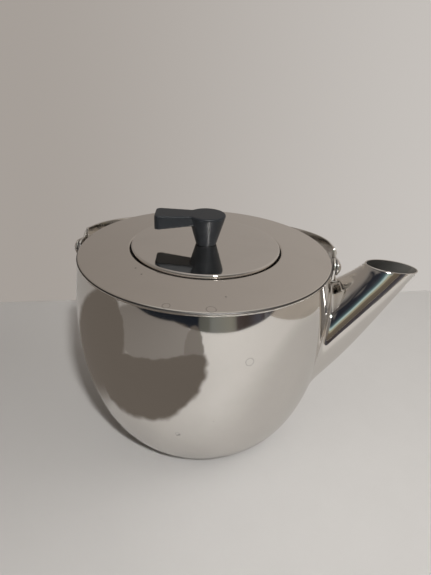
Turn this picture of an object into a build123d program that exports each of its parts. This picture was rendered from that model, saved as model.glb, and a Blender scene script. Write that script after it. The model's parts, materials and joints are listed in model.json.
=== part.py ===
"""Stovetop kettle of polished steel, with a spout, a lift-off lid and a bail handle.

Millimetres. The origin is the centre of the flat base, +Z is up, the spout points along +X
and the handle swings about an axis along X. The handle is folded down behind the body (+Y).
"""
from build123d import *
from math import asin, cos, degrees, radians, sin, tan
import os

# ---------------------------------------------------------------- driving dimensions
# body
rim_height = 148.0         # height of the crisp edge between shoulder and side
rim_radius = 95.0          # radius of that edge
belly_bulge = 4.7          # how far the widest place stands out past that edge
belly_drop = 50.0          # widest place below that edge
curve_overrun = 10.4       # how far the lower side's elliptical curve would run on below the floor
lower_width = 44.8         # horizontal semi-axis of that curve
body_wall = 0.8
bottom_corner = 3.0        # outer radius between side and flat bottom
# base
base_out = 11.1            # edge of the base, out from the centre of the lower side's curve
base_height = 3.0
base_wall = 0.6
base_edge = 1.0
# shoulder and opening
shoulder_rise = 2.9        # how far the opening's edge stands above the rim
shoulder_drop = 3.0        # height of the rolled outer edge
shoulder_roll = 1.4        # how far the rolled edge stands out past the rim radius
opening_radius = 57.6
opening_bend = 1.2
collar_depth = 3.9         # from the opening's edge down to the lid seat
seat_width = 6.1           # from the opening's wall in to the seat's bore
seat_lip = 4.0
sheet = 0.8                # sheet thickness of shoulder, seat and lid
# lid
lid_gap = 1.1              # radial gap between lid and opening
lid_proud = 5.0            # top of the lid above the rim
lid_roll = 1.0
lid_rest_gap = 0.3         # lid edge above its seat
skirt_gap = 0.5            # radial gap between lid skirt and seat
skirt_depth = 9.0
# knob
knob_waist = 7.7
knob_radius = 14.0
knob_height = 23.5
knob_rim = 1.6             # height of the knob's upright edge
lever_reach = 38.6         # from the knob's axis to the lever's tip
lever_root_half = 8.3
lever_tip_half = 11.0
lever_root_thick = 7.0
lever_tip_thick = 10.6
lever_corner = 4.5         # rounding of the tip's corners, seen from above
lever_turn = 6.5           # degrees, turned towards the front from straight left
insert_wall = 1.5
insert_length = 9.0
screw_radius = 2.0
screw_head_radius = 4.0
screw_head_height = 2.2
thread_play = 0.05
washer_radius = 6.5
washer_thick = 0.8
washer_room = 1.5          # from the washer out to the under plate
# spout
mouth_reach = 41.4         # centre of the mouth, out from the widest place
mouth_drop = 2.1           # and below the rim
mouth_fall = 3.5           # degrees that the mouth tips down, away from the body
spout_wall = 1.0
strainer_hole = 3.5        # radius
strainer_pitch = 10.5
strainer_drop = 66.0       # middle row of holes, below the rim
strainer_half = 16.0       # no hole's centre is further from the middle plane
# handle
pivot_drop = 6.5           # pivot axis below the rim
lug_gap = 1.0              # from the rolled edge out to the inner face of the lugs
lug_thick = 1.8
lug_half = 7.0
lug_foot_half = 7.5
lug_foot_thick = 1.2
spacer_thick = 0.8
spacer_radius = 6.3
side_gap = 0.3             # play between parts that turn on the pivot
link_thick = 1.5
link_round = 6.0
link_length = 27.0
link_flare_half = 10.5
link_flare = 2.0           # half the length of the slope out to the wider end
link_corner = 3.0
pivot_radius = 2.5
pivot_play = 0.05
pivot_head_radius = 5.0
pivot_head_height = 2.4
strap_thick = 1.5
strap_half = 13.0
strap_start = 13.0         # end of the strap, from the pivot
strap_leg = 32.0           # where the arch's curve begins
fold_room = 39.3           # from the widest place out to the strap's middle line, folded back level
strap_corner = 5.0
strap_rivet_radius = 1.75
strap_rivet_head = 3.4
strap_rivet_dome = 1.6
strap_rivet_reach = 19.5
strap_rivet_side = 7.0
fold_angle = 101.0         # handle folded back from upright

# ---------------------------------------------------------------- derived places
belly_radius = rim_radius + belly_bulge
belly_height = rim_height - belly_drop
lower_depth = belly_height - base_height + curve_overrun
base_radius = belly_radius - lower_width + base_out
seat_radius = opening_radius - seat_width
seat_top = rim_height + shoulder_rise - collar_depth
seat_under = seat_top - sheet
shoulder_seat = rim_height - shoulder_drop
upper_rise = shoulder_seat - belly_height
upper_run = belly_radius - (rim_radius + 0.5)
upper_radius = (upper_rise ** 2 + upper_run ** 2) / (2 * upper_run)
lid_radius = opening_radius - lid_gap
insert_radius = screw_radius + insert_wall
lid_top = rim_height + lid_proud
lid_bottom = seat_top + lid_rest_gap
knob_top = lid_top + knob_height
pivot_height = rim_height - pivot_drop
lug_inner = rim_radius + shoulder_roll + lug_gap
link_inner = lug_inner + lug_thick + spacer_thick + side_gap
link_outer = link_inner + link_thick
strap_middle = link_inner - strap_thick / 2
arch_height = belly_radius + fold_room
fold_dip = radians(fold_angle - 90)
foot_drop = link_round / cos(fold_dip) + lug_foot_half * tan(fold_dip) + side_gap
lug_tail = foot_drop + lug_foot_thick


def ring(inner, outer, low, high):
    """Plain ring, or a disc when inner is zero."""
    section = Pos((inner + outer) / 2, (low + high) / 2) * Rectangle(outer - inner, high - low)
    return revolve(Plane.XZ * section, Axis.Z)


def section_of(edges):
    """Face in the XZ plane from a closed run of edges."""
    return Plane.XZ * make_face(edges)


def body_solid(inset):
    """Solid of revolution inside the body's outer surface, each face moved in by inset."""
    depth = lower_depth - inset
    width = lower_width - inset
    floor = base_height + inset
    low_angle = asin((floor - belly_height) / depth)
    centre_x = belly_radius - lower_width
    floor_radius = centre_x + width * cos(low_angle)
    high_angle = asin(upper_rise / (upper_radius - inset))
    top_radius = belly_radius - upper_radius + (upper_radius - inset) * cos(high_angle)
    edges = [
        Line((0, floor), (floor_radius, floor)),
        EllipticalCenterArc((centre_x, belly_height), width, depth,
                            start_angle=degrees(low_angle), arc_size=-degrees(low_angle)),
        CenterArc((belly_radius - upper_radius, belly_height), upper_radius - inset,
                  0, degrees(high_angle)),
        Line((top_radius, shoulder_seat), (0, shoulder_seat)),
        Line((0, shoulder_seat), (0, floor)),
    ]
    face = make_face(edges)
    corner = face.vertices().sort_by(Axis.Y)[:2].sort_by(Axis.X)[-1]
    face = fillet(corner, bottom_corner - min(inset, bottom_corner / 2))
    return revolve(Plane.XZ * face, Axis.Z)


# ---------------------------------------------------------------- spout
# Each section is an ellipse: x and z of its top, x and z of its bottom, half width along Y.
# The x is taken from the widest place, the z from the rim.
spout_sections = [
    (-15.2, -38.0, -13.7, -111.0, 43.0),
    (-0.2, -22.7, 2.6, -94.0, 34.6),
    (11.6, -13.2, 18.5, -74.0, 27.3),
    (19.2, -5.8, 38.1, -43.0, 20.0),
    (21.7, -0.9, 61.1, -3.3, 11.8),
    (22.5, 4.6, 68.8, 9.5, 9.5),
]


def spout_solid(inset):
    """Loft through the spout's sections, drawn in by inset."""
    faces = []
    for top_x, top_z, low_x, low_z, half_width in spout_sections:
        run = top_x - low_x
        rise = top_z - low_z
        centre = (belly_radius + (top_x + low_x) / 2, 0, rim_height + (top_z + low_z) / 2)
        plane = Plane(centre, x_dir=(0, 1, 0), z_dir=(rise, 0, -run))
        half_height = (run ** 2 + rise ** 2) ** 0.5 / 2
        faces.append(plane * Ellipse(half_width - inset, half_height - inset))
    return loft(faces)


def above_mouth():
    """Block that covers everything above the slanted mouth."""
    return (Pos(belly_radius + mouth_reach, 0, rim_height - mouth_drop) * Rot(0, mouth_fall, 0)
            * Pos(0, 0, 60) * Box(300, 120, 120))


outer_body = body_solid(0)
spout_outside = spout_solid(0) - above_mouth()
spout_bore = spout_solid(spout_wall)
spout = spout_outside - spout_bore - outer_body

# ---------------------------------------------------------------- body shell
body_shell = outer_body - body_solid(body_wall)
for row in range(-2, 4):
    shift = strainer_pitch / 2 if row % 2 else 0
    for column in (-1, 0, 1):
        across = column * strainer_pitch + shift
        up = rim_height - strainer_drop + row * strainer_pitch * sin(radians(60))
        if abs(across) < strainer_half:
            hole = Pos(belly_radius, across, up) * Rot(0, 90, 0) * Cylinder(strainer_hole, 30)
            body_shell -= hole

# ---------------------------------------------------------------- base
def base_section(inset):
    """Half section of the base, its floor and side moved in by inset."""
    outer = base_radius - inset
    edge = base_edge - inset
    return make_face([
        Line((0, inset), (outer - edge, inset)),
        RadiusArc((outer - edge, inset), (outer, base_edge), -edge),
        Line((outer, base_edge), (outer, base_height)),
        Line((outer, base_height), (0, base_height)),
        Line((0, base_height), (0, inset)),
    ])


base_disc = revolve(Plane.XZ * base_section(base_wall), Axis.Z)
base_cap = revolve(Plane.XZ * (base_section(0) - base_section(base_wall)), Axis.Z)

# ---------------------------------------------------------------- shoulder, opening and seat
bend_radius = opening_radius + opening_bend
edge_height = rim_height + shoulder_rise
shoulder_ring = revolve(section_of([
    ThreePointArc((rim_radius + 0.5, shoulder_seat),
                  (rim_radius + shoulder_roll, rim_height - shoulder_drop / 2),
                  (rim_radius, rim_height)),
    Line((rim_radius, rim_height), (bend_radius, edge_height)),
    ThreePointArc((bend_radius, edge_height),
                  (bend_radius - opening_bend * sin(radians(45)),
                   edge_height - opening_bend * (1 - cos(radians(45)))),
                  (opening_radius, edge_height - opening_bend)),
    Line((opening_radius, edge_height - opening_bend), (opening_radius, seat_top)),
    Line((opening_radius, seat_top), (opening_radius + sheet, seat_top)),
    Line((opening_radius + sheet, seat_top),
         (opening_radius + sheet, edge_height - opening_bend)),
    Line((opening_radius + sheet, edge_height - opening_bend),
         (bend_radius, edge_height - sheet)),
    Line((bend_radius, edge_height - sheet), (rim_radius - 0.2, rim_height - sheet)),
    ThreePointArc((rim_radius - 0.2, rim_height - sheet),
                  (rim_radius + shoulder_roll - sheet, rim_height - shoulder_drop / 2),
                  (rim_radius + 0.5 - sheet, shoulder_seat)),
    Line((rim_radius + 0.5 - sheet, shoulder_seat), (rim_radius + 0.5, shoulder_seat)),
]), Axis.Z)

lid_seat = ring(seat_radius, opening_radius + sheet, seat_under, seat_top)
lid_seat += ring(seat_radius, seat_radius + sheet, seat_under - seat_lip, seat_under)

# ---------------------------------------------------------------- lid
lid_outer = section_of([
    Line((0, lid_top), (lid_radius - lid_roll, lid_top)),
    RadiusArc((lid_radius - lid_roll, lid_top), (lid_radius, lid_top - lid_roll), lid_roll),
    Line((lid_radius, lid_top - lid_roll), (lid_radius, lid_bottom)),
    Line((lid_radius, lid_bottom), (0, lid_bottom)),
    Line((0, lid_bottom), (0, lid_top)),
])
under_plate_low = lid_bottom + 0.5
under_plate_top = under_plate_low + sheet
lid_cover = revolve(lid_outer, Axis.Z) - ring(0, lid_radius - sheet, lid_bottom - 1, lid_top - sheet)
lid_cover -= Pos(0, 0, lid_top) * Cylinder(screw_radius + 0.2, 10)
lid_under_plate = ring(washer_radius + washer_room, lid_radius - sheet, under_plate_low, under_plate_top)
skirt_radius = seat_radius - skirt_gap
lid_skirt = ring(skirt_radius - sheet, skirt_radius, under_plate_low - skirt_depth, under_plate_low)

# ---------------------------------------------------------------- knob and its fixing
knob_cone = revolve(section_of([
    Line((0, lid_top), (knob_waist, lid_top)),
    Line((knob_waist, lid_top), (knob_radius, knob_top - knob_rim)),
    Line((knob_radius, knob_top - knob_rim), (knob_radius, knob_top)),
    Line((knob_radius, knob_top), (0, knob_top)),
    Line((0, knob_top), (0, lid_top)),
]), Axis.Z)
lever_root = knob_radius * 0.5
lever_plan = make_face(Polyline(
    (-lever_root, -lever_root_half), (-lever_reach, -lever_tip_half),
    (-lever_reach, lever_tip_half), (-lever_root, lever_root_half), close=True))
lever_plan = fillet(lever_plan.vertices().sort_by(Axis.X)[:2], lever_corner)
lever_side = Plane.XZ * make_face(Polyline(
    (-lever_root, knob_top), (-lever_reach - 1, knob_top),
    (-lever_reach - 1, knob_top - lever_tip_thick),
    (-lever_root, knob_top - lever_root_thick), close=True))
lever = extrude(Pos(0, 0, knob_top - 20) * lever_plan, 20) & extrude(lever_side, 20, both=True)
knob_body = knob_cone + lever
bore_top = lid_top + insert_length
knob_bore = Pos(0, 0, lid_top) * Cylinder(insert_radius, insert_length,
                                          align=(Align.CENTER, Align.CENTER, Align.MIN))
lid_knob = Rot(0, 0, lever_turn) * knob_body - knob_bore

knob_insert = ring(screw_radius, insert_radius, lid_top, bore_top)
washer_low = lid_top - sheet - washer_thick
knob_washer = ring(screw_radius + 0.2, washer_radius, washer_low, lid_top - sheet)
knob_screw = ring(0, screw_head_radius, washer_low - screw_head_height, washer_low)
knob_screw += ring(0, screw_radius - thread_play, washer_low, bore_top - 1.5)
slot = Pos(0, 0, washer_low - screw_head_height) * Box(1.2, 2 * screw_head_radius, 2)
knob_screw -= slot


# ---------------------------------------------------------------- lugs and pivots
def slab(low_x, high_x, plan):
    """Plan drawn in the YZ plane (y to the right, z up), given thickness along X."""
    return extrude(Plane.YZ.offset(low_x) * plan, high_x - low_x)


def rivet(low_x, face_x, shank_radius, head_radius, head_height, y, z):
    """Round-headed rivet along X: its shank ends at low_x and its head stands on face_x."""
    half = make_face([
        Line((low_x, 0), (low_x, shank_radius)),
        Line((low_x, shank_radius), (face_x, shank_radius)),
        Line((face_x, shank_radius), (face_x, head_radius)),
        RadiusArc((face_x, head_radius), (face_x + head_height, 0),
                  (head_radius ** 2 + head_height ** 2) / (2 * head_height)),
        Line((face_x + head_height, 0), (low_x, 0)),
    ])
    return Pos(0, y, z) * revolve(half, Axis.X)


def shank(low_x, high_x, radius, y, z):
    """Round shank along X."""
    return slab(low_x, high_x, Pos(y, z) * Circle(radius))


lug_outer = lug_inner + lug_thick
lug_plan = (Pos(0, pivot_height) * Circle(lug_half)
            + Pos(0, pivot_height - lug_tail / 2) * Rectangle(2 * lug_half, lug_tail))
foot_plan = (Pos(0, pivot_height - foot_drop - lug_foot_thick / 2)
             * Rectangle(2 * lug_foot_half, lug_foot_thick))
lug = slab(lug_inner - 0.4, lug_outer, lug_plan) + slab(lug_inner - 0.4, link_outer, foot_plan)
lug -= slab(0, lug_inner, Pos(0, pivot_height) * Rectangle(60, 2 * (pivot_drop + shoulder_drop)))
lug -= outer_body
lug -= shank(lug_inner - 5, lug_outer + 5, pivot_radius, 0, pivot_height)

spacer = slab(lug_outer, lug_outer + spacer_thick, Pos(0, pivot_height) * Circle(spacer_radius))
spacer -= shank(lug_outer - 1, lug_outer + 5, pivot_radius, 0, pivot_height)
head_face = link_outer + side_gap
pivot_rivet = rivet(lug_inner, head_face, pivot_radius,
                    pivot_head_radius, pivot_head_height, 0, pivot_height)

# ---------------------------------------------------------------- handle, drawn upright
link_plan = Circle(link_round) + make_face(Polyline(
    (-link_round, 0), (link_round, 0), (link_round, strap_start - link_flare),
    (link_flare_half, strap_start + link_flare), (link_flare_half, link_length),
    (-link_flare_half, link_length), (-link_flare_half, strap_start + link_flare),
    (-link_round, strap_start - link_flare), close=True))
link_plan = fillet(link_plan.vertices().sort_by(Axis.Y)[-2:], link_corner)
link = slab(link_inner, link_outer, Pos(0, pivot_height) * link_plan)
link -= shank(link_inner - 1, link_outer + 1, pivot_radius + pivot_play, 0, pivot_height)

arch_centre = pivot_height + strap_leg
arch_rise = arch_height - strap_leg
half_thick = strap_thick / 2
arch_face = (Pos(0, arch_centre) * Ellipse(strap_middle + half_thick, arch_rise + half_thick)
             - Pos(0, arch_centre) * Ellipse(strap_middle - half_thick, arch_rise - half_thick))
arch_face &= Pos(0, arch_centre + arch_rise) * Rectangle(3 * strap_middle, 2 * arch_rise)
leg_low = pivot_height + strap_start
leg_face = Pos(0, (leg_low + arch_centre) / 2) * Rectangle(strap_thick, arch_centre - leg_low)
strap_face = arch_face + Pos(strap_middle, 0) * leg_face + Pos(-strap_middle, 0) * leg_face
handle_strap = extrude(Plane.XZ * strap_face, strap_half, both=True)
strap_ends = handle_strap.edges().filter_by(Axis.X).group_by(Axis.Z)[0]
handle_strap = fillet(strap_ends, strap_corner)

rivet_z = pivot_height + strap_rivet_reach
strap_rivets = []
for side in (-1, 1):
    y = side * strap_rivet_side
    pin = rivet(strap_middle - half_thick, link_outer, strap_rivet_radius,
                strap_rivet_head, strap_rivet_dome, y, rivet_z)
    hole = shank(strap_middle - 3, link_outer + 1, strap_rivet_radius, y, rivet_z)
    link -= hole
    handle_strap -= hole
    handle_strap -= mirror(hole, Plane.YZ)
    strap_rivets += [pin, mirror(pin, Plane.YZ)]


# ---------------------------------------------------------------- place and write
def folded(shape):
    """Turn an upright handle piece back about the pivot axis."""
    return Pos(0, 0, pivot_height) * Rot(-fold_angle, 0, 0) * Pos(0, 0, -pivot_height) * shape


def left(shape):
    """Mirror a right-hand piece to the left."""
    return mirror(shape, Plane.YZ)


nodes = {
    "body_shell": body_shell,
    "base_disc": base_disc,
    "base_cap": base_cap,
    "shoulder_ring": shoulder_ring,
    "lid_seat": lid_seat,
    "spout": spout,
    "lug_right": lug,
    "lug_left": left(lug),
    "pivot_spacers": Compound(children=[spacer, left(spacer)]),
    "pivot_rivets": Compound(children=[pivot_rivet, left(pivot_rivet)]),
    "handle_strap": folded(handle_strap),
    "link_right": folded(link),
    "link_left": folded(left(link)),
    "strap_rivets": Compound(children=[folded(pin) for pin in strap_rivets]),
    "lid_cover": lid_cover,
    "lid_under_plate": lid_under_plate,
    "lid_skirt": lid_skirt,
    "lid_knob": lid_knob,
    "knob_insert": knob_insert,
    "knob_washer": knob_washer,
    "knob_screw": knob_screw,
}

os.makedirs("parts", exist_ok=True)
for name, shape in nodes.items():
    export_step(shape, f"parts/{name}.step")
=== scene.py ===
"""Looks for the polished stovetop kettle: turned skins, spout, strap handle, knob, finishes, light."""
import bpy
import bmesh
import json
from math import asin, atan2, cos, degrees, hypot, pi, radians, sin, sqrt, tan
from mathutils import Matrix, Vector


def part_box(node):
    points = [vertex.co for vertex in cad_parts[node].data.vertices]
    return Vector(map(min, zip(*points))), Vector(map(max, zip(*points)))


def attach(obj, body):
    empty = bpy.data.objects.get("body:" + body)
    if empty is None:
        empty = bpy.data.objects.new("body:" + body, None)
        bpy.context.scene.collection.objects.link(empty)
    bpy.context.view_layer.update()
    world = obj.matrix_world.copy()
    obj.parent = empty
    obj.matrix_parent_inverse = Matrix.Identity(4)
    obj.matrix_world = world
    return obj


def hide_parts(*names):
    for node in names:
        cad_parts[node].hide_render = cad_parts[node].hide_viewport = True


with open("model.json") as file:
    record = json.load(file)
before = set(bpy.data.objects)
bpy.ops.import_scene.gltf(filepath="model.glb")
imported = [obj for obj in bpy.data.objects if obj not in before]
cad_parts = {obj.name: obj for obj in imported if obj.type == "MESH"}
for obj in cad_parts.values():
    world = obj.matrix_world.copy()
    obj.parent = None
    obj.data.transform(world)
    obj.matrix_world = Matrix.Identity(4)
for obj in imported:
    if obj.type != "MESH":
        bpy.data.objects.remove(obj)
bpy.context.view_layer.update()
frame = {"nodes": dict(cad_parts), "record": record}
scene = bpy.context.scene
MM = 0.001
SAME = 1e-6  # places closer than this, in metres, count as one
WELD = 2e-6  # vertices closer than this, in metres, are merged
SMOOTH_ANGLE = 35  # edges that turn less than this, in degrees, are shaded smooth

# ------------------------------------------------------------------ sizes, in mm
# Heights come from the frame; the rest follow the part's own sizes.
# body and base
SHOULDER_RISE = 2.9
RIM_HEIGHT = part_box("shoulder_ring")[1].z / MM - SHOULDER_RISE
RIM_RADIUS = 95.0
BELLY_RADIUS = 99.7
BELLY_HEIGHT = 98.0
LOWER_DEPTH = 105.4
LOWER_WIDTH = 44.8
BOTTOM_CORNER = 3.0
WALL = 0.8
POLE = 1.0  # radius of the flat that closes a turned skin's middle
BASE_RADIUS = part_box("base_cap")[1].x / MM
BASE_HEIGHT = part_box("base_cap")[1].z / MM
BASE_WALL = 0.6
BASE_EDGE = 1.0
STRAINER_HOLE = 3.5
STRAINER_PITCH = 10.5
STRAINER_DROP = 66.0
STRAINER_HALF = 16.0
STRAINER_REACH = 30.0  # length of the drill, half of it outside the belly
# shoulder, lid seat and lid
SHOULDER_DROP = 3.0
SHOULDER_ROLL = 1.4
ROLL_FOOT = 0.5  # foot of the rolled edge, out past the rim
OPENING_RADIUS = 57.6
OPENING_BEND = 1.2
OPENING_EDGE = RIM_HEIGHT + SHOULDER_RISE
SEAM_DROP = 0.8  # middle of the band of painted shade along the seam, below the rim
SEAM_HALF = 0.45
SEAT_RADIUS = 51.5
SEAT_TOP = RIM_HEIGHT - 1.0
SEAT_FOOT = SEAT_TOP - WALL - 4.0
LID_RADIUS = 56.5
LID_ROLL = 1.0
LID_HOLE = 2.2
LID_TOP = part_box("lid_cover")[1].z / MM
LID_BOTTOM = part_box("lid_cover")[0].z / MM
LINING_BOTTOM = LID_BOTTOM + 0.5
LINING_HOLE = 8.0
SKIRT_RADIUS = SEAT_RADIUS - 0.5
SKIRT_DEPTH = 9.0
# spout: at even steps along it, its top (x, z), its underside (x, z) and its half width
SECTIONS = [(84.5, 110.0, 86.0, 37.0, 43.0), (99.5, 125.3, 102.3, 54.0, 34.6),
            (111.3, 134.8, 118.2, 74.0, 27.3), (118.9, 142.2, 137.8, 105.0, 20.0),
            (121.4, 147.1, 160.8, 144.7, 11.8), (122.2, 152.6, 168.5, 157.5, 9.5)]
SPOUT_WALL = 1.0
SPOUT_FILLET = 5.0
MOUTH_CENTRE = (141.1, 145.9)
MOUTH_FALL = 3.5
# knob, with its lever's reach and root measured from the knob's axis
KNOB_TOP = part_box("lid_knob")[1].z / MM
KNOB_WAIST = 7.7
KNOB_RADIUS = 14.0
KNOB_EDGE = 1.6
LEVER_REACH = 38.6
LEVER_ROOT = 7.0
LEVER_TIP_HALF = 11.0
LEVER_ROOT_HALF = 8.3
LEVER_TIP_THICK = 10.6
LEVER_ROOT_THICK = 7.0
LEVER_CORNER = 4.0
LEVER_TURN = 6.5
# handle, its strap, links, lugs and rivets; heights of the upright links are from the pivot
PIVOT_HEIGHT = RIM_HEIGHT - 6.5
PIVOT_RADIUS = 2.5
PIVOT_PLAY = 0.05
SIDE_PLAY = 0.3
FOLD_ANGLE = 101.0
STRAP_MIDDLE = 99.55
STRAP_THICK = 1.5
STRAP_HALF = 13.0
STRAP_START = 13.0
STRAP_LEG = 32.0
STRAP_CORNER = 4.5
STRAP_EASE = 0.35
ARCH_HEIGHT = 139.0
LINK_INNER = 100.3
LINK_FACE = 101.8
LINK_ROUND = 6.0
LINK_NECK = 11.0
LINK_FLARE = 15.0
LINK_TOP = 27.0
LINK_HALF = 10.5
LINK_CORNER = 3.0
LUG_OUTER = 99.2
LUG_THICK = 1.7
LUG_HALF = 7.0
LUG_CORNER = 0.6
FOOT_HALF = 7.5
FOOT_THICK = 1.2
SPACER_RADIUS = 6.3
SPACER_THICK = 0.8
STRAP_PIN = 1.75
STRAP_PIN_RISE = 19.5
STRAP_PIN_OUT = 7.0
# side of the body: the arc between the belly and the foot of the rolled edge
SIDE_BASE = RIM_HEIGHT - SHOULDER_DROP
SIDE_RISE = SIDE_BASE - BELLY_HEIGHT
SIDE_RUN = BELLY_RADIUS - (RIM_RADIUS + ROLL_FOOT)
SIDE_RADIUS = (SIDE_RISE ** 2 + SIDE_RUN ** 2) / (2 * SIDE_RUN)


# ------------------------------------------------------------------ bench tools
def in_mm(*values):
    """Sizes or a place given in mm, in metres."""
    return tuple(value * MM for value in values)


def clear_selection():
    """Leave edit mode and let go of everything."""
    if bpy.context.object and bpy.context.object.mode != "OBJECT":
        bpy.ops.object.mode_set(mode="OBJECT")
    bpy.ops.object.select_all(action="DESELECT")


def take(piece):
    """Make one object the selected and active one."""
    clear_selection()
    piece.select_set(True)
    bpy.context.view_layer.objects.active = piece


def edit_all(piece):
    """Open a piece in edit mode with all of it selected."""
    take(piece)
    bpy.ops.object.mode_set(mode="EDIT")
    bpy.ops.mesh.select_all(action="SELECT")


def settle(piece, angle=SMOOTH_ANGLE):
    """Merge doubles, face outwards, shade smooth up to an angle, and apply the place."""
    edit_all(piece)
    bpy.ops.mesh.remove_doubles(threshold=WELD)
    bpy.ops.mesh.normals_make_consistent(inside=False)
    bpy.ops.object.mode_set(mode="OBJECT")
    bpy.ops.object.transform_apply(location=True, rotation=True, scale=True)
    bpy.ops.object.shade_smooth_by_angle(angle=radians(angle))
    return piece


def apply_modifier(piece, kind, **settings):
    """Add a modifier with these settings and apply it."""
    take(piece)
    modifier = piece.modifiers.new(kind.title(), kind)
    for key, value in settings.items():
        setattr(modifier, key, value)
    bpy.ops.object.modifier_apply(modifier=modifier.name)


def join(pieces):
    """Join pieces into the first of them."""
    clear_selection()
    for piece in pieces:
        piece.select_set(True)
    bpy.context.view_layer.objects.active = pieces[0]
    bpy.ops.object.join()
    return pieces[0]


def combine(piece, tool, operation="DIFFERENCE"):
    """Cut a tool out of a piece, or add it, and clear the tool away."""
    apply_modifier(piece, "BOOLEAN", object=tool, operation=operation, solver="EXACT")
    bpy.data.objects.remove(tool)


def drill_bit(radius, depth, place, sides):
    """A cylinder laid along X, in mm."""
    clear_selection()
    bpy.ops.mesh.primitive_cylinder_add(vertices=sides, radius=radius * MM, depth=depth * MM,
                                        rotation=(0, radians(90), 0), location=in_mm(*place))
    return bpy.context.object


def sheet(name, size, location, rotation=(0, 0, 0)):
    """Flat rectangle of a size in metres, its place applied."""
    clear_selection()
    bpy.ops.mesh.primitive_plane_add(size=1, location=location, rotation=rotation)
    piece = bpy.context.object
    piece.name = name
    piece.scale = (*size, 1)
    bpy.ops.object.transform_apply(location=True, rotation=True, scale=True)
    return piece


def round_edges(piece, wanted, radius, segments):
    """Round the edges whose two ends pass a test, in edit mode, and leave it."""
    bpy.ops.mesh.select_mode(type="EDGE")
    bpy.ops.mesh.select_all(action="DESELECT")
    work = bmesh.from_edit_mesh(piece.data)
    for edge in work.edges:
        edge.select = wanted(*(vertex.co for vertex in edge.verts))
    bmesh.update_edit_mesh(piece.data)
    bpy.ops.mesh.bevel(offset=radius * MM, offset_type="OFFSET", segments=segments, affect="EDGES")
    bpy.ops.mesh.select_mode(type="VERT")
    clear_selection()


def arc(centre, radius, start, stop, steps):
    """Points on an arc, in (radius, height) mm; angles in degrees from outwards, upwards."""
    points = []
    for k in range(steps + 1):
        turn = radians(start + (stop - start) * k / steps)
        points.append((centre[0] + radius * cos(turn), centre[1] + radius * sin(turn)))
    return points


def rounded(outline, closed=True, steps=5):
    """Round each corner that has a third value, its radius.

    A point on each side of it holds the flats, at this share of the radius from the round.
    """
    hold = 0.6
    result = []
    count = len(outline)
    for k, corner in enumerate(outline):
        here = corner[:2]
        if len(corner) < 3 or (not closed and k in (0, count - 1)):
            result.append(here)
            continue
        size = corner[2]
        before = outline[k - 1][:2]
        after = outline[(k + 1) % count][:2]
        back = Vector((before[0] - here[0], before[1] - here[1])).normalized()
        ahead = Vector((after[0] - here[0], after[1] - here[1])).normalized()
        half = back.angle(ahead) / 2
        reach = size / sin(half) * cos(half)
        mid = (back + ahead).normalized() * (size / sin(half))
        first = back * reach
        last = ahead * reach
        spoke_a = first - mid
        spoke_b = last - mid
        sweep = spoke_a.angle(spoke_b)
        side = 1 if spoke_a.x * spoke_b.y - spoke_a.y * spoke_b.x > 0 else -1
        hold_a = back * (reach + size * hold)
        hold_b = ahead * (reach + size * hold)
        result.append((here[0] + hold_a.x, here[1] + hold_a.y))
        for step in range(steps + 1):
            turn = side * sweep * step / steps
            x = spoke_a.x * cos(turn) - spoke_a.y * sin(turn)
            y = spoke_a.x * sin(turn) + spoke_a.y * cos(turn)
            result.append((here[0] + mid.x + x, here[1] + mid.y + y))
        result.append((here[0] + hold_b.x, here[1] + hold_b.y))
    return result


def turned(name, outline, segments, closed=True, angle=SMOOTH_ANGLE):
    """Turn an outline of (radius, height) in mm about Z: a ring drawn out step by step."""
    clear_selection()
    radius, height = outline[0]
    bpy.ops.mesh.primitive_circle_add(vertices=segments, radius=radius * MM,
                                      location=(0, 0, height * MM))
    piece = bpy.context.object
    piece.name = name
    edit_all(piece)
    steps = outline[1:] + ([outline[0]] if closed else [])
    for next_radius, next_height in steps:
        rise = (next_height - height) * MM
        bpy.ops.mesh.extrude_region_move(TRANSFORM_OT_translate={"value": (0, 0, rise)})
        grow = next_radius / radius
        bpy.ops.transform.resize(value=(grow, grow, 1), center_override=(0, 0, 0))
        radius, height = next_radius, next_height
    if not closed:
        bpy.ops.mesh.edge_face_add()
        bpy.ops.mesh.select_all(action="DESELECT")
        mesh = bmesh.from_edit_mesh(piece.data)
        low = outline[0]
        for edge in mesh.edges:
            if edge.is_boundary and abs(edge.verts[0].co.z - low[1] * MM) < SAME:
                edge.select = True
        bmesh.update_edit_mesh(piece.data)
        bpy.ops.mesh.edge_face_add()
    return settle(piece, angle)


def stamping(name, outline, low_x, high_x, bores=(), ease=0.25):
    """Sheet stamping across X from an outline of (y, z), its edges eased, with round bores in it.

    Each bore is (y, z, radius). Everything in mm.
    """
    clear_selection()
    middle_y = sum(point[0] for point in outline) / len(outline)
    bpy.ops.mesh.primitive_circle_add(vertices=len(outline), radius=MM, fill_type="NGON",
                                      location=in_mm(low_x, middle_y, 0))
    piece = bpy.context.object
    piece.name = name
    bpy.ops.object.transform_apply(location=True, rotation=True, scale=True)
    for vertex, (y, z) in zip(piece.data.vertices, outline):
        vertex.co = in_mm(low_x, y, z)
    edit_all(piece)
    bpy.ops.mesh.extrude_region_move(
        TRANSFORM_OT_translate={"value": ((high_x - low_x) * MM, 0, 0)})
    bpy.ops.mesh.select_all(action="SELECT")
    bpy.ops.mesh.normals_make_consistent(inside=False)
    apply_modifier(piece, "BEVEL", width=ease * MM, segments=3, limit_method="ANGLE",
                   angle_limit=radians(50), use_clamp_overlap=True)
    through = 4 * (high_x - low_x)
    for y, z, radius in bores:
        combine(piece, drill_bit(radius, through, ((low_x + high_x) / 2, y, z), 32))
    return piece


def mirrored(piece, name):
    """A copy on the other side of the middle plane, its faces still outwards."""
    twin = bpy.data.objects.new(name, piece.data.copy())
    scene.collection.objects.link(twin)
    twin.matrix_world = Matrix.Scale(-1, 4, (1, 0, 0)) @ piece.matrix_world
    return settle(twin)


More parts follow.
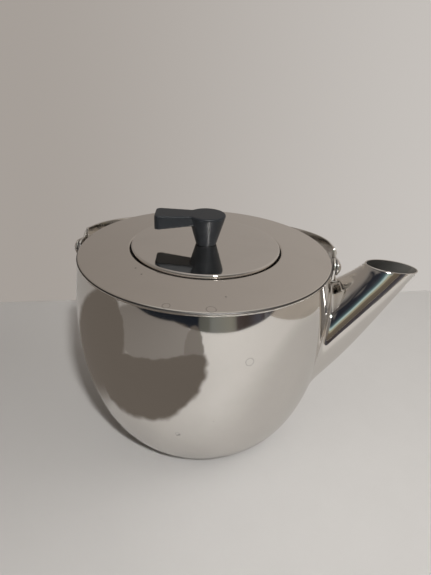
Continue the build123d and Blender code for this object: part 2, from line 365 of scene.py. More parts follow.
def stand(piece, body, slot, *nodes):
    """Let a piece ride on a body, stand for its nodes and take a slot's finish."""
    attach(piece, body)
    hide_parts(*nodes)
    piece.data.materials.clear()
    piece.data.materials.append(finishes[slot])


# ------------------------------------------------------------------ shader maths
class Value:
    """A shader socket that adds, multiplies and compares like a number."""

    def __init__(self, finish, socket):
        self.finish = finish
        self.socket = socket

    def math(self, operation, other=0.0, swap=False):
        first, second = (other, self) if swap else (self, other)
        return self.finish.node("ShaderNodeMath", {"operation": operation}, {0: first, 1: second})

    def __add__(self, other):
        return self.math("ADD", other)

    def __radd__(self, other):
        return self.math("ADD", other, True)

    def __sub__(self, other):
        return self.math("SUBTRACT", other)

    def __rsub__(self, other):
        return self.math("SUBTRACT", other, True)

    def __mul__(self, other):
        return self.math("MULTIPLY", other)

    def __rmul__(self, other):
        return self.math("MULTIPLY", other, True)

    def __truediv__(self, other):
        return self.math("DIVIDE", other)

    def __rtruediv__(self, other):
        return self.math("DIVIDE", other, True)

    def __gt__(self, other):
        return self.math("GREATER_THAN", other)

    def __lt__(self, other):
        return self.math("LESS_THAN", other)

    def size(self):
        """The number without its sign."""
        return self.math("ABSOLUTE")

    def over(self, other):
        """The larger of the two."""
        return self.math("MAXIMUM", other)

    def ramp(self, low, high):
        """0 below low, 1 above high, smooth between."""
        return self.finish.node("ShaderNodeMapRange", {"interpolation_type": "SMOOTHSTEP"},
                                {"Value": self, "From Min": low, "From Max": high})


def opaque(colour):
    """A colour for a socket: a shader value as it is, three numbers with a full alpha."""
    return colour if isinstance(colour, Value) else (*colour, 1)


def shaded(colour, share):
    """The same colour, darker or lighter."""
    return tuple(channel * share for channel in colour)


class Finish:
    """A procedural material, or the light of a world, its nodes made by one method."""

    def __init__(self, name, world=None):
        self.material = world or bpy.data.materials.new(name)
        self.material.use_nodes = True
        self.tree = self.material.node_tree
        self.tree.nodes.clear()

    def node(self, kind, settings=None, inputs=None, output=0, raw=False):
        """One node: settings first, then the values or links of its sockets."""
        made = self.tree.nodes.new(kind)
        for key, value in (settings or {}).items():
            if key == "stops":
                ramp = made.color_ramp
                while len(ramp.elements) < len(value):
                    ramp.elements.new(0.5)
                for element, (place, colour) in zip(ramp.elements, value):
                    element.position = place
                    element.color = (*colour, 1)
            else:
                setattr(made, key, value)
        for key, value in (inputs or {}).items():
            socket = made.inputs[key]
            if isinstance(value, Value):
                self.tree.links.new(value.socket, socket)
            else:
                socket.default_value = value
        return made if raw else Value(self, made.outputs[output])

    def place(self, kind="Object"):
        return self.node("ShaderNodeTexCoord", output=kind)

    def noise(self, where, scale, detail=2.0, rough=0.5, distortion=0.0):
        return self.node("ShaderNodeTexNoise", {},
                         {"Vector": where, "Scale": scale, "Detail": detail,
                          "Roughness": rough, "Distortion": distortion})

    def axes(self, where):
        """The X, Y and Z of a place or a direction."""
        parts = self.node("ShaderNodeSeparateXYZ", {}, {"Vector": where}, raw=True)
        return [Value(self, parts.outputs[axis]) for axis in "XYZ"]

    def stretched(self, where, scale):
        return self.node("ShaderNodeMapping", {}, {"Vector": where, "Scale": scale})

    def scattered(self, where, scale, channel=0):
        """Scattered middles: the distance to the nearest, and a random number for each."""
        cell = self.node("ShaderNodeTexVoronoi", {"feature": "F1"},
                         {"Vector": where, "Scale": scale, "Randomness": 1.0}, raw=True)
        colour = Value(self, cell.outputs["Color"])
        pick = self.node("ShaderNodeSeparateColor", {}, {"Color": colour}, output=channel)
        return Value(self, cell.outputs["Distance"]), pick

    def away(self, where, place):
        """Distance in mm from a place in mm."""
        return self.node("ShaderNodeVectorMath", {"operation": "DISTANCE"},
                         {0: where, 1: Vector(place) * MM}, output=1) / MM

    def colours(self, factor, first, second):
        """Blend of two colours by a factor: the mix node's colour sockets are 6 and 7."""
        inputs = {0: factor, 6: opaque(first), 7: opaque(second)}
        return self.node("ShaderNodeMix", {"data_type": "RGBA"}, inputs, output=2)

    def stripes(self, factor, stops):
        """Colours along a factor from 0 to 1."""
        return self.node("ShaderNodeValToRGB", {"stops": stops}, {"Fac": factor})

    def bump(self, height, strength, distance, normal=None):
        inputs = {"Height": height, "Strength": strength, "Distance": distance}
        if normal:
            inputs["Normal"] = normal
        return self.node("ShaderNodeBump", {}, inputs)

    def principled(self, **sockets):
        return self.node("ShaderNodeBsdfPrincipled", {},
                         {key.replace("_", " "): value for key, value in sockets.items()})

    def glow(self, colour):
        return self.node("ShaderNodeEmission", {}, {"Color": opaque(colour), "Strength": 1.0})

    def clear(self):
        return self.node("ShaderNodeBsdfTransparent")

    def either(self, factor, first, second):
        """Blend of two shaders by a factor."""
        return self.node("ShaderNodeMixShader", {}, {0: factor, 1: first, 2: second})

    def done(self, shader):
        """Put the shader on the output and hand the material over."""
        self.node("ShaderNodeOutputMaterial", {}, {"Surface": shader}, raw=True)
        return self.material


def mirror_steel(name, tint, gloss, wave, spots, spots_scale, rings=(), dots=()):
    """Mirror-polished steel: faint waves, wiping haze, dried water spots and fine specks.

    spots is the share of scattered places that stay clean. rings and dots are single marks, each
    with its place and radius in mm.
    """
    f = Finish(name)
    where = f.place()
    haze = f.noise(where, 16.0, 4.0, 0.6, 0.4).ramp(0.45, 0.75)
    wipe = f.noise(f.stretched(where, (1.0, 1.0, 5.0)), 70.0, 3.0, 0.55)
    wobble = f.noise(where, 420.0, 2.0) - 0.5
    # dried drops: a wobbly ring at each chosen middle, and a faint film inside it
    near, pick = f.scattered(where, spots_scale)
    edge = near + wobble * 0.09
    chosen = pick > spots
    spot_radius = 0.12
    ring = (1.0 - (edge - spot_radius).size().ramp(0.008, 0.035)) * chosen
    inside = (1.0 - edge.ramp(0.05, 0.14)) * chosen
    # fine dark specks, far fewer than their middles
    near, pick = f.scattered(where, 95.0, channel=1)
    speck = (1.0 - near.ramp(0.02, 0.075)) * (pick > 0.965)
    # the single marks
    for *place, radius in rings:
        line = f.away(where, place) - radius + wobble * 1.2
        ring = ring.over(1.0 - line.size().ramp(0.15, 0.5))
    for *place, radius in dots:
        speck = speck.over(1.0 - f.away(where, place).ramp(radius * 0.6, radius))
    colour = f.colours(haze * 0.12 + ring * 0.8 + inside * 0.15, tint, shaded(tint, 0.72))
    colour = f.colours(speck * 0.8, colour, shaded(tint, 0.35))
    rough = gloss + haze * 0.025 + wipe * 0.02 + ring * 0.16 + inside * 0.05 + speck * 0.3
    swell = f.bump(f.noise(where, 9.0, 1.0), wave, 0.0006)
    normal = f.bump(ring * 0.6 + speck, 0.12, 0.00005, swell)
    return f.done(f.principled(Base_Color=colour, Metallic=1.0, Roughness=rough, Normal=normal))


def plain_metal(name, tint, rough, grain):
    """Unpolished metal with a turned or drawn grain."""
    f = Finish(name)
    where = f.place()
    lines = f.noise(f.stretched(where, (1, 1, 40)), grain, 3.0, 0.6)
    cloud = f.noise(where, 60.0, 3.0).ramp(0.4, 0.7)
    colour = f.colours(cloud * 0.5, tint, shaded(tint, 0.75))
    return f.done(f.principled(Base_Color=colour, Metallic=1.0, Roughness=rough + lines * 0.15,
                               Normal=f.bump(lines, 0.15, 0.0001)))


def black_plastic(name, shade, rough):
    """Satin moulded plastic: fine grain, faint scuffs and dust."""
    f = Finish(name)
    where = f.place()
    fine = f.noise(where, 2600.0, 2.0, 0.6)
    worn = f.noise(where, 130.0, 4.0, 0.6, 0.6).ramp(0.5, 0.75)
    near, pick = f.scattered(where, 520.0)
    dust = (1.0 - near.ramp(0.03, 0.1)) * (pick > 0.95)
    lighter = tuple(channel * 1.5 + 0.006 for channel in shade)
    colour = f.colours(worn * 0.5, shade, lighter)
    colour = f.colours(dust * 0.3, colour, (0.2, 0.2, 0.19))
    return f.done(f.principled(Base_Color=colour, Roughness=rough + worn * 0.08 + fine * 0.06,
                               Specular_IOR_Level=0.35, Normal=f.bump(fine, 0.25, 0.00003)))


# painted shade: a dark tone that stands for the shade in the gap round the lid and along the rim's seam
PAINTED_SHADE_TONE = (0.10, 0.095, 0.09)
STEEL = (0.80, 0.765, 0.725)
BODY_STEEL = (0.80, 0.775, 0.742)
finishes = {
    "body_steel": mirror_steel("body_steel", BODY_STEEL, 0.045, 0.25, 0.93, 30.0,
                               rings=[(39.8, -91.0, 112.7, 2.8), (-4.7, -94.3, 48.3, 1.6)],
                               dots=[(-4.0, -94.3, 47.5, 1.0), (-5.6, -94.0, 46.6, 0.7)]),
    "top_steel": mirror_steel("top_steel", STEEL, 0.06, 0.15, 0.93, 40.0,
                              rings=[(14.0, -91.0, 148.3, 3.0), (-13.0, -91.5, 148.3, 2.4)],
                              dots=[(-42.6, -48.3, 150.3, 0.9), (-36.5, -56.4, 150.1, 0.9),
                                    (21.5, -76.0, 149.2, 0.8)]),
    "lid_steel": mirror_steel("lid_steel", (0.83, 0.80, 0.765), 0.03, 0.10, 0.95, 40.0),
    "spout_steel": mirror_steel("spout_steel", BODY_STEEL, 0.05, 0.25, 0.94, 40.0),
    "strap_steel": mirror_steel("strap_steel", (0.74, 0.715, 0.68), 0.09, 0.2, 0.95, 60.0),
    "fitting_steel": mirror_steel("fitting_steel", (0.78, 0.755, 0.72), 0.09, 0.2, 0.95, 90.0),
    "rivet_steel": mirror_steel("rivet_steel", (0.80, 0.775, 0.74), 0.08, 0.1, 0.97, 120.0),
    "screw_steel": plain_metal("screw_steel", (0.58, 0.58, 0.57), 0.3, 900.0),
    "base_core": plain_metal("base_core", (0.75, 0.75, 0.76), 0.45, 300.0),
    "insert_brass": plain_metal("insert_brass", (0.66, 0.50, 0.24), 0.3, 900.0),
    "knob_plastic": black_plastic("knob_plastic", (0.016, 0.019, 0.023), 0.40),
    "spacer_plastic": black_plastic("spacer_plastic", (0.014, 0.014, 0.015), 0.4),
}
# the lid's collar and the rim's seam take painted shade, a dark tone of their own
collar_painted_shade = plain_metal("collar_painted_shade", PAINTED_SHADE_TONE, 0.6, 500.0)
# the spout's bore: duller, rougher steel, its tint darkened as painted shade in the bore
dull_bore_painted_shade = plain_metal("dull_bore_painted_shade", (0.34, 0.33, 0.31), 0.55, 220.0)
seam_painted_shade = plain_metal("seam_painted_shade", PAINTED_SHADE_TONE, 0.35, 500.0)
for entry in frame["record"]["subparts"]:
    skin = frame["nodes"][entry["node"]].data.materials
    skin.clear()
    skin.append(finishes[entry["material_slot"]])


# ------------------------------------------------------------------ body
def body_outline(inset):
    """Side of the body from the floor's centre to the top edge, moved in by inset."""
    floor = BASE_HEIGHT + inset
    depth = LOWER_DEPTH - inset
    width = LOWER_WIDTH - inset
    low = asin((floor - BELLY_HEIGHT) / depth)
    centre = BELLY_RADIUS - LOWER_WIDTH
    corner = BOTTOM_CORNER - min(inset, BOTTOM_CORNER / 2)
    points = [(POLE, floor), (centre + width * cos(low), floor, corner)]
    steps = 44  # of which the rounded corner takes the first
    for k in range(2, steps + 1):
        turn = low * (1 - k / steps)
        points.append((centre + width * cos(turn), BELLY_HEIGHT + depth * sin(turn)))
    upper = SIDE_RADIUS - inset
    high = asin(SIDE_RISE / upper)
    steps = 16
    for k in range(1, steps + 1):
        turn = high * k / steps
        points.append((BELLY_RADIUS - SIDE_RADIUS + upper * cos(turn),
                       BELLY_HEIGHT + upper * sin(turn)))
    return rounded(points, closed=False)


outer_side = body_outline(0)
inner_side = body_outline(WALL)
kettle_body = turned("kettle_body", outer_side + inner_side[::-1], 192, closed=False)


def body_reach(height):
    """Outer radius of the body at a height, in mm."""
    if height < BELLY_HEIGHT:
        share = (height - BELLY_HEIGHT) / LOWER_DEPTH
        return BELLY_RADIUS - LOWER_WIDTH + LOWER_WIDTH * sqrt(max(0.0, 1 - share * share))
    rise = height - BELLY_HEIGHT
    return BELLY_RADIUS - SIDE_RADIUS + sqrt(SIDE_RADIUS ** 2 - rise * rise)


# strainer holes behind the spout: staggered rows, each drilled through the wall
drills = []
for row in range(-2, 4):
    shift = STRAINER_PITCH / 2 if row % 2 else 0.0
    height = RIM_HEIGHT - STRAINER_DROP + row * STRAINER_PITCH * sin(pi / 3)
    for column in (-1, 0, 1):
        across = column * STRAINER_PITCH + shift
        if abs(across) < STRAINER_HALF:
            place = (BELLY_RADIUS, across, height)
            drills.append(drill_bit(STRAINER_HOLE, STRAINER_REACH, place, 24))
combine(kettle_body, join(drills))
take(kettle_body)
bpy.ops.object.shade_smooth_by_angle(angle=radians(SMOOTH_ANGLE))
stand(kettle_body, "kettle", "body_steel", "body_shell")

# ------------------------------------------------------------------ base
base_bore = BASE_RADIUS - BASE_WALL
base_outline = [(POLE, 0.0), (BASE_RADIUS, 0.0, BASE_EDGE), (BASE_RADIUS, BASE_HEIGHT, 0.15),
                (base_bore, BASE_HEIGHT), (base_bore, BASE_WALL, 0.4), (POLE, BASE_WALL)]
base_skin = turned("base_skin", rounded(base_outline), 160)
stand(base_skin, "kettle", "body_steel", "base_cap")


# ------------------------------------------------------------------ shoulder and lid seat
def roll(inset):
    """Rolled outer edge of the shoulder, from its foot to its crisp top."""
    foot = Vector((RIM_RADIUS + ROLL_FOOT - inset, SIDE_BASE))
    middle = Vector((RIM_RADIUS + SHOULDER_ROLL - inset, RIM_HEIGHT - SHOULDER_DROP / 2))
    top = Vector((RIM_RADIUS - inset * 0.3, RIM_HEIGHT - inset))
    points = []
    steps = 8
    for k in range(steps + 1):
        share = k / steps
        bend = foot * (1 - share) ** 2 + (middle * 2 - (foot + top) / 2) * 2 * share * (1 - share)
        bend = bend + top * share ** 2
        points.append((bend.x, bend.y))
    return points


shoulder_outline = roll(0)
shoulder_outline[-1] = (*shoulder_outline[-1], 0.3)  # the crisp edge
collar = OPENING_RADIUS + WALL
lip = SEAT_RADIUS + WALL
shoulder_outline += [
    (OPENING_RADIUS, OPENING_EDGE, OPENING_BEND), (OPENING_RADIUS, SEAT_TOP, 0.3),
    (SEAT_RADIUS, SEAT_TOP, 0.3), (SEAT_RADIUS, SEAT_FOOT, 0.2), (lip, SEAT_FOOT, 0.2),
    (lip, SEAT_TOP - WALL), (collar, SEAT_TOP - WALL), (collar, OPENING_EDGE - WALL, 0.5)]
shoulder_outline += roll(WALL)[::-1]
shoulder = turned("shoulder", rounded(shoulder_outline), 192)
stand(shoulder, "kettle", "top_steel", "shoulder_ring", "lid_seat")
shoulder.data.materials.append(collar_painted_shade)
shoulder.data.materials.append(seam_painted_shade)
# faces down in the collar, in the gap round the lid, take painted shade; a band on the roll at the seam
# takes painted shade for its dark line
for face in shoulder.data.polygons:
    reach = hypot(face.center.x, face.center.y) / MM
    height = face.center.z / MM
    if reach < OPENING_RADIUS + 0.2 and height < OPENING_EDGE - WALL:
        face.material_index = 1
    if reach > RIM_RADIUS and abs(height - RIM_HEIGHT + SEAM_DROP) < SEAM_HALF:
        face.material_index = 2

# ------------------------------------------------------------------ lid
# two more rings on the broad flat keep its faces short
bore = LID_RADIUS - WALL
lid_outline = [(LID_HOLE, LID_TOP), (20.0, LID_TOP), (40.0, LID_TOP), (LID_RADIUS, LID_TOP, LID_ROLL),
               (LID_RADIUS, LID_BOTTOM, 0.2), (bore, LID_BOTTOM, 0.2),
               (bore, LID_TOP - WALL, 0.4), (LID_HOLE, LID_TOP - WALL)]
lid = turned("lid", rounded(lid_outline), 192)
stand(lid, "lid", "lid_steel", "lid_cover")
skirt_foot = LINING_BOTTOM - SKIRT_DEPTH
lining_outline = [(LINING_HOLE, LINING_BOTTOM + WALL), (bore, LINING_BOTTOM + WALL),
                  (bore, LINING_BOTTOM), (SKIRT_RADIUS, LINING_BOTTOM), (SKIRT_RADIUS, skirt_foot, 0.2),
                  (SKIRT_RADIUS - WALL, skirt_foot, 0.2), (SKIRT_RADIUS - WALL, LINING_BOTTOM, 0.6),
                  (LINING_HOLE, LINING_BOTTOM)]
lining = turned("lid_lining", rounded(lining_outline), 160)
stand(lining, "lid", "lid_steel", "lid_under_plate", "lid_skirt")


# ------------------------------------------------------------------ spout
# No primitive gives a slanted oval cone that flows into a round body, so its rings are worked out.
def spaced(values, share):
    """Smooth value between evenly spaced ones."""
    count = len(values) - 1
    k = min(int(share), count - 1)
    t = share - k
    before = values[k - 1] if k > 0 else 2 * values[0] - values[1]
    after = values[k + 2] if k + 2 <= count else 2 * values[count] - values[count - 1]
    here, there = values[k], values[k + 1]
    slope_a = (there - before) / 2
    slope_b = (after - here) / 2
    return (here * (2 * t ** 3 - 3 * t ** 2 + 1) + slope_a * (t ** 3 - 2 * t ** 2 + t)
            + there * (3 * t ** 2 - 2 * t ** 3) + slope_b * (t ** 3 - t ** 2))


def spout_point(share, turn, inset):
    """Point on the spout at a share along it and a turn about it, in mm."""
    top_x, top_z, low_x, low_z, half = (spaced([s[k] for s in SECTIONS], share) for k in range(5))
    run, rise = (top_x - low_x) / 2, (top_z - low_z) / 2
    height = hypot(run, rise)
    keep = (height - inset) / height
    return Vector(((top_x + low_x) / 2 + run * keep * cos(turn), (half - inset) * sin(turn),
                   (top_z + low_z) / 2 + rise * keep * cos(turn)))


def outside_body(point):
    """How far a point stands outside the body's side, in mm, roughly."""
    return hypot(point.x, point.y) - body_reach(point.z)


def halfway(low, high, short):
    """Close in by halves on the place where short(place) turns false."""
    for _ in range(40):
        middle = (low + high) / 2
        if short(middle):
            low = middle
        else:
            high = middle
    return (low + high) / 2


def share_where(turn, inset, clearance):
    """Share along the spout where it stands this far off the body."""
    return halfway(0.0, 3.9, lambda share: outside_body(spout_point(share, turn, inset)) < clearance)


def mouth_share(turn, inset):
    """Share at which a line along the spout meets the mouth's plane."""
    def below(share):
        point = spout_point(share, turn, inset)
        return point.z < MOUTH_CENTRE[1] - (point.x - MOUTH_CENTRE[0]) * tan(radians(MOUTH_FALL))

    return halfway(3.0, 5.0, below)


def on_body(point, out):
    """The point moved square to the axis onto the body's side, and out by a little."""
    reach = body_reach(point.z) + out
    flat = hypot(point.x, point.y)
    return Vector((point.x / flat * reach, point.y / flat * reach, point.z))


def spout_rings(around):
    """Rings of the spout's closed skin: fillet on the body, outside, lip, inside; and the lip's row."""
    foot_steps = 9
    long_steps = 30
    inner_steps = 18
    sink = 0.12
    crown = 0.22
    bore_gap = 0.2
    turns = [2 * pi * k / around for k in range(around)]
    starts = [share_where(turn, 0, SPOUT_FILLET * 0.75) for turn in turns]
    feet = [share_where(turn, 0, 0.0) for turn in turns]
    ends = [mouth_share(turn, 0) for turn in turns]
    flare = []
    for turn, start, foot in zip(turns, starts, feet):
        lift = spout_point(start, turn, 0)
        root = spout_point(foot, turn, 0)
        away = spout_point(foot, turn, -SPOUT_FILLET) - root
        flare.append((on_body(root + away.normalized() * SPOUT_FILLET, -sink), root, lift))
    rings = []
    for k in range(foot_steps):
        share = k / foot_steps
        rings.append([edge * (1 - share) ** 2 + root * 2 * share * (1 - share) + lift * share ** 2
                      for edge, root, lift in flare])
    for k in range(long_steps + 1):
        share = k / long_steps
        rings.append([spout_point(a + (b - a) * share, turn, 0)
                      for turn, a, b in zip(turns, starts, ends)])
    inner_ends = [mouth_share(turn, SPOUT_WALL) for turn in turns]
    inner_starts = [share_where(turn, SPOUT_WALL, bore_gap) for turn in turns]
    lip_out = rings.pop()
    lip_in = [spout_point(share, turn, SPOUT_WALL) for share, turn in zip(inner_ends, turns)]
    for share in (0.04, 0.35, 0.65, 0.96):
        rise = Vector((0, 0, crown * sin(pi * share)))
        rings.append([a.lerp(b, share) + rise for a, b in zip(lip_out, lip_in)])
    lip_row = len(rings) - 1
    for k in range(1, inner_steps + 1):
        share = 1 - k / inner_steps
        rings.append([spout_point(a + (b - a) * share, turn, SPOUT_WALL)
                      for turn, a, b in zip(turns, inner_starts, inner_ends)])
    return rings, lip_row


around = 128  # points in each ring
rings, lip_row = spout_rings(around)
points = [tuple(point * MM) for ring in rings for point in ring]
faces = []
for row in range(len(rings)):
    ahead = (row + 1) % len(rings)
    for k in range(around):
        side = (k + 1) % around
        faces.append((row * around + k, row * around + side, ahead * around + side,
                      ahead * around + k))
skin = bpy.data.meshes.new("spout_skin")
skin.from_pydata(points, [], faces)
inner_mark = skin.attributes.new("inner", "INT", "FACE")
for index, mark in enumerate(inner_mark.data):
    mark.value = int(lip_row <= index // around < len(rings) - 1)
spout = bpy.data.objects.new("pouring_spout", skin)
scene.collection.objects.link(spout)
settle(spout, 40)
stand(spout, "kettle", "spout_steel", "spout")
# the bore's faces take the dull steel with its painted shade
spout.data.materials.append(dull_bore_painted_shade)
for face, mark in zip(spout.data.polygons, spout.data.attributes["inner"].data):
    face.material_index = mark.value

# ------------------------------------------------------------------ knob
clear_selection()
bpy.ops.mesh.primitive_circle_add(vertices=96, radius=KNOB_WAIST * MM,
                                  location=in_mm(0, 0, LID_TOP), fill_type="NGON")
knob = bpy.context.object
knob.name = "knob"
edit_all(knob)
knob_rise = KNOB_TOP - LID_TOP
for rise, grow in ((knob_rise - KNOB_EDGE, KNOB_RADIUS / KNOB_WAIST), (KNOB_EDGE, 1.0)):
    bpy.ops.mesh.extrude_region_move(TRANSFORM_OT_translate={"value": (0, 0, rise * MM)})
    bpy.ops.transform.resize(value=(grow, grow, 1), center_override=(0, 0, 0))
clear_selection()
lever_middle = (LEVER_REACH + LEVER_ROOT) / 2
lever_height = KNOB_TOP - LEVER_TIP_THICK / 2
bpy.ops.mesh.primitive_cube_add(size=1, location=in_mm(-lever_middle, 0, lever_height),
                                scale=in_mm(LEVER_REACH - LEVER_ROOT, 2 * LEVER_TIP_HALF,
                                            LEVER_TIP_THICK))
lever = bpy.context.object
bpy.ops.object.transform_apply(location=True, rotation=True, scale=True)
for vertex in lever.data.vertices:
    if vertex.co.x > -lever_middle * MM:
        vertex.co.y *= LEVER_ROOT_HALF / LEVER_TIP_HALF
        if vertex.co.z < lever_height * MM:
            vertex.co.z = (KNOB_TOP - LEVER_ROOT_THICK) * MM


def tip_corner(a, b):
    """Upright edge at the lever's tip."""
    return max(a.x, b.x) < -lever_middle * MM and abs(a.y - b.y) < SAME


edit_all(lever)
round_edges(lever, tip_corner, LEVER_CORNER, 8)
combine(knob, lever, "UNION")
# the two melt into one moulding with soft inner corners
apply_modifier(knob, "REMESH", mode="VOXEL", voxel_size=0.42 * MM)
apply_modifier(knob, "SMOOTH", factor=0.5, iterations=14)
knob.rotation_euler = (0, 0, radians(LEVER_TURN))
settle(knob, 60)
stand(knob, "lid", "knob_plastic", "lid_knob")

# ------------------------------------------------------------------ handle
fold = (Matrix.Translation((0, 0, PIVOT_HEIGHT * MM)) @ Matrix.Rotation(radians(-FOLD_ANGLE), 4, "X")
        @ Matrix.Translation((0, 0, -PIVOT_HEIGHT * MM)))


def arch(share):
    """Middle line of the upright strap from the right end (0) to the left end (1), in mm."""
    leg_share = 0.06
    leg = STRAP_LEG - STRAP_START
    to_end = min(share, 1 - share)
    if to_end < leg_share:
        side = STRAP_MIDDLE if share < 0.5 else -STRAP_MIDDLE
        return Vector((side, 0, PIVOT_HEIGHT + STRAP_START + leg * to_end / leg_share))
    turn = pi * (share - leg_share) / (1 - 2 * leg_share)
    return Vector((STRAP_MIDDLE * cos(turn), 0,
                   PIVOT_HEIGHT + STRAP_LEG + (ARCH_HEIGHT - STRAP_LEG) * sin(turn)))


def strap_piece(steps=150):
    """Flat strip drawn along the arch from a plane at its right end."""
    strip = sheet("strap", in_mm(STRAP_THICK, 2 * STRAP_HALF), arch(0) * MM)
    edit_all(strip)
    heading = 0.0
    here = arch(0)
    for k in range(1, steps + 1):
        there = arch(k / steps)
        step = there - here
        bpy.ops.mesh.extrude_region_move(TRANSFORM_OT_translate={"value": step * MM})
        ahead = arch(min(1, (k + 0.5) / steps)) - arch((k - 0.5) / steps)
        aim = atan2(-ahead.x, ahead.z)
        bpy.ops.transform.rotate(value=aim - heading, orient_axis="Y", orient_type="GLOBAL",
                                 center_override=there * MM)
        heading = aim
        here = there
    bpy.ops.object.mode_set(mode="OBJECT")
    return strip


def strap_corner(a, b):
    """Edge through the sheet at one of the strap's two ends."""
    end = (PIVOT_HEIGHT + STRAP_START) * MM + 1e-5
    return abs(a.y - b.y) < SAME and abs(a.x - b.x) > STRAP_THICK / 3 * MM and max(a.z, b.z) < end


strap = strap_piece()
edit_all(strap)
bpy.ops.mesh.remove_doubles(threshold=WELD)
bpy.ops.mesh.normals_make_consistent(inside=False)
round_edges(strap, strap_corner, STRAP_CORNER, 6)
apply_modifier(strap, "BEVEL", width=STRAP_EASE * MM, segments=3, limit_method="ANGLE",
               angle_limit=radians(40), use_clamp_overlap=True)
strap.matrix_world = fold
settle(strap)
stand(strap, "handle", "strap_steel", "handle_strap")

# links, lugs and spacers: stampings on each side, the right ones first
link_outline = arc((0, PIVOT_HEIGHT), LINK_ROUND, 180, 360, 16)
link_outline += [(y, PIVOT_HEIGHT + rise, *corner) for y, rise, *corner in (
    (LINK_ROUND, LINK_NECK), (LINK_HALF, LINK_FLARE), (LINK_HALF, LINK_TOP, LINK_CORNER),
    (-LINK_HALF, LINK_TOP, LINK_CORNER), (-LINK_HALF, LINK_FLARE), (-LINK_ROUND, LINK_NECK))]
bores = [(0, PIVOT_HEIGHT, PIVOT_RADIUS + PIVOT_PLAY)]
bores += [(across, PIVOT_HEIGHT + STRAP_PIN_RISE, STRAP_PIN)
          for across in (-STRAP_PIN_OUT, STRAP_PIN_OUT)]
link_right = stamping("hinge_link_right", rounded(link_outline), LINK_INNER, LINK_FACE, bores)
link_right.matrix_world = fold
settle(link_right)

# each lug ends in a small foot, on which the folded link comes to rest
dip = radians(FOLD_ANGLE - 90)
foot_top = PIVOT_HEIGHT - (LINK_ROUND / cos(dip) + FOOT_HALF * sin(dip) / cos(dip) + SIDE_PLAY)
foot_low = foot_top - FOOT_THICK
lug_outline = arc((0, PIVOT_HEIGHT), LUG_HALF, 0, 180, 24)
lug_outline += [(-LUG_HALF, foot_low, LUG_CORNER), (LUG_HALF, foot_low, LUG_CORNER)]
lug_right = stamping("pivot_lug_right", rounded(lug_outline), LUG_OUTER - LUG_THICK, LUG_OUTER,
                     [(0, PIVOT_HEIGHT, PIVOT_RADIUS)])
foot_outline = [(FOOT_HALF, foot_low, 0.3), (FOOT_HALF, foot_top, 0.3),
                (-FOOT_HALF, foot_top, 0.3), (-FOOT_HALF, foot_low, 0.3)]
foot = stamping("pivot_lug_foot", rounded(foot_outline, steps=2), LUG_OUTER - FOOT_THICK, LINK_FACE,
                ease=0.2)
settle(join([lug_right, foot]))

spacer_outline = [(PIVOT_RADIUS, 0.0), (SPACER_RADIUS, 0.0, 0.2),
                  (SPACER_RADIUS, SPACER_THICK, 0.2), (PIVOT_RADIUS, SPACER_THICK)]
spacers = turned("spacer_washers", rounded(spacer_outline, steps=3), 64)
spacers.matrix_world = (Matrix.Translation(Vector((LUG_OUTER, 0, PIVOT_HEIGHT)) * MM)
                        @ Matrix.Rotation(radians(90), 4, "Y"))
settle(spacers)
join([spacers, mirrored(spacers, "spacer_left")])
stand(mirrored(link_right, "hinge_link_left"), "handle", "fitting_steel", "link_left")
stand(mirrored(lug_right, "pivot_lug_left"), "kettle", "fitting_steel", "lug_left")
stand(link_right, "handle", "fitting_steel", "link_right")
stand(lug_right, "kettle", "fitting_steel", "lug_right")
stand(spacers, "kettle", "spacer_plastic", "pivot_spacers")


def rivet_head(name, radius, dome, shank, length):
    """Domed rivet, head upwards: the head's radius and dome, the shank's radius and length, in mm."""
    flat = 0.25
    curve = (radius ** 2 + dome ** 2) / (2 * dome)
    spread = degrees(asin(radius / curve))
    outline = [(0.4, -length), (shank, -length), (shank, 0.0), (radius - flat, 0.0)]
    outline += arc((0, dome - curve), curve, 90 - spread + 1.5, 89.0, 14)
    return turned(name, outline, 64, closed=False, angle=40)


def set_rivet(master, name, place, side, turn_with=None):
    """Copy a rivet, lay it along X with its head outwards and put it in its place."""
    rivet = bpy.data.objects.new(name, master.data.copy())
    scene.collection.objects.link(rivet)
    lay = Matrix.Rotation(radians(90 * side), 4, "Y")
    rivet.matrix_world = (turn_with or Matrix()) @ Matrix.Translation(place * MM) @ lay
    take(rivet)
    bpy.ops.object.transform_apply(location=True, rotation=True, scale=True)
    return rivet


pivot_master = rivet_head("pivot_master", radius=5.0, dome=2.4, shank=PIVOT_RADIUS, length=4.6)
strap_master = rivet_head("strap_master", radius=3.4, dome=1.6, shank=STRAP_PIN, length=2.9)
pivot_set = []
strap_set = []
for side in (1, -1):
    place = Vector((side * (LINK_FACE + SIDE_PLAY), 0, PIVOT_HEIGHT))
    pivot_set.append(set_rivet(pivot_master, f"pivot_{side}", place, side))
    for across in (-STRAP_PIN_OUT, STRAP_PIN_OUT):
        place = Vector((side * LINK_FACE, across, PIVOT_HEIGHT + STRAP_PIN_RISE))
        strap_set.append(set_rivet(strap_master, f"strap_pin_{side}_{across}", place, side, fold))
for group, name, body, node in ((pivot_set, "pivot_heads", "kettle", "pivot_rivets"),
                                (strap_set, "strap_heads", "handle", "strap_rivets")):
    joined = join(group)
    joined.name = name
    stand(joined, body, "rivet_steel", node)
bpy.data.objects.remove(pivot_master)
bpy.data.objects.remove(strap_master)

# ------------------------------------------------------------------ counter, wall, cards, light
# the wall's tones: painted light makes the wall darker at the left and lighter at the right
WALL_LEFT = (0.38, 0.345, 0.315)
WALL_RIGHT = (0.58, 0.55, 0.52)
COUNTER_SIZE = 60
WALL_HEIGHT = 30
WALL_OUT = 0.196  # from the kettle's middle back to the wall
WALL_TURN = 13.5
TONE_POINT = 0.32  # the wall's tones fan out from a point this far in front of the kettle
CARD_LIFT = 0.002
CARD_STEP = 0.001  # cards that overlap lie this much over one another
BOARD_TONE = (0.42, 0.375, 0.325)


